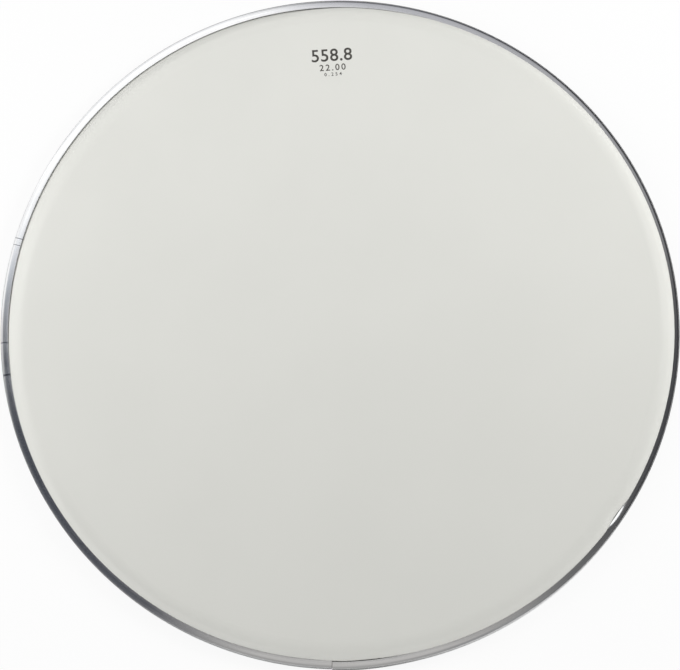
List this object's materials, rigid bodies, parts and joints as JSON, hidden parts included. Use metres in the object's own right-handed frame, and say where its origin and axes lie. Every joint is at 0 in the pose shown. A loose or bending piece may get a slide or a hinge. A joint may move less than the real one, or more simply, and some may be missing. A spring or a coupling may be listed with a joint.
{
  "type": "drum head",
  "caption": "Round drum head: a taut white plastic film with a sloped collar, its edge cast in resin inside a rolled aluminium channel hoop that slips over a drum shell.",
  "frame": {"origin": "on the head's axis, in the plane of the hoop's foot", "axes": "+Z along the head's axis, out of the playing face; the hoop's butt seam lies close to -Y"},
  "size_m": [0.575, 0.5751, 0.02],
  "materials": {
    "white_film": "smooth, soft sheen",
    "bright_aluminium": "bright rolled",
    "mill_aluminium": "mill finish",
    "cast_resin": "cast, slightly glossy"
  },
  "bodies": {
    "root": {"drumhead_film": "white_film", "hoop_channel": "bright_aluminium", "hoop_splice": "mill_aluminium", "resin_ring": "cast_resin"}
  },
  "joints": []
}
